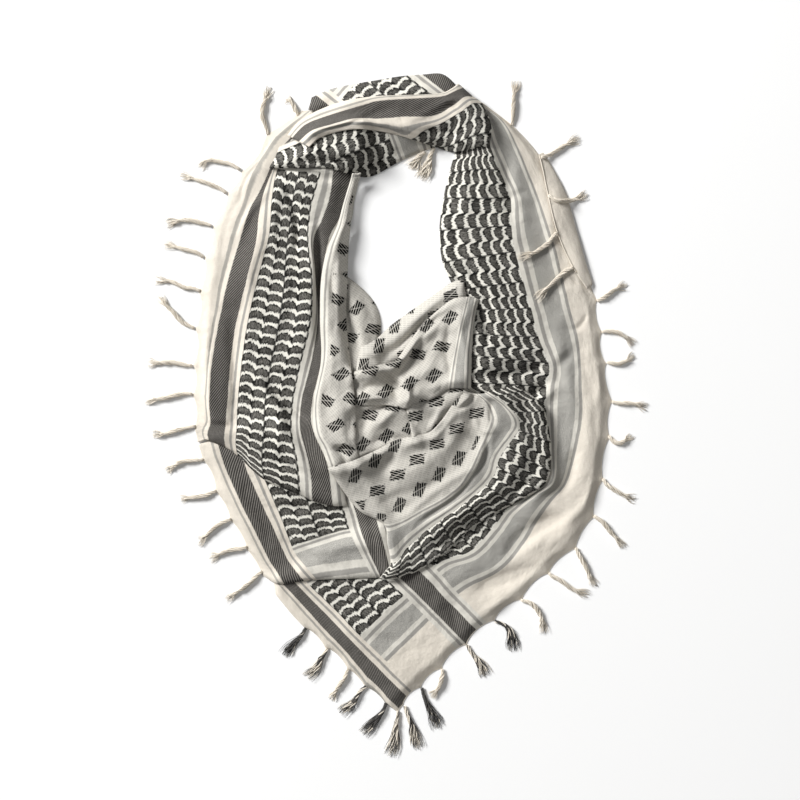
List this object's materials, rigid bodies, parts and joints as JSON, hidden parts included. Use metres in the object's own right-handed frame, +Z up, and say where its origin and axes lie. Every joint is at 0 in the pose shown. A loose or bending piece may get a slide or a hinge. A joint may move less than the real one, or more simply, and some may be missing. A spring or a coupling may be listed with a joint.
{
  "type": "jacquard stole",
  "caption": "Square cotton jacquard stole with leaf and stripe borders and tasselled edges, wound into a loop with a cowl and a point, laid flat.",
  "frame": {"origin": "middle of the stole's bounding box, on the surface it lies on", "axes": "+Y from the point towards the neck end, +X to the right seen from above, +Z up off the surface"},
  "size_m": [0.6965, 0.9484, 0.0406],
  "materials": {
    "woven_cloth": "matte cotton jacquard in cream, grey and charcoal",
    "hidden_cloth": "matte cotton, the layers no view shows",
    "tassel_yarn": "matte cotton yarn, some tassels mixed with charcoal"
  },
  "bodies": {
    "root": {"hidden_layers": "hidden_cloth", "right_drape": "woven_cloth", "left_apron": "woven_cloth", "left_drape": "woven_cloth", "neck_top": "woven_cloth", "neck_lower": "woven_cloth", "neck_band": "woven_cloth", "back_swag": "woven_cloth", "roll_swag": "woven_cloth", "under_swag": "woven_cloth", "pocket_fold": "woven_cloth", "main_swag": "woven_cloth", "inner_fold": "woven_cloth", "lower_swag": "woven_cloth", "right_flap": "woven_cloth", "fringe_point_left": "tassel_yarn", "fringe_point_right": "tassel_yarn", "fringe_right": "tassel_yarn", "fringe_shoulder": "tassel_yarn", "fringe_left_apron": "tassel_yarn", "fringe_left_drape": "tassel_yarn", "fringe_neck": "tassel_yarn", "fringe_flap": "tassel_yarn"}
  },
  "joints": []
}
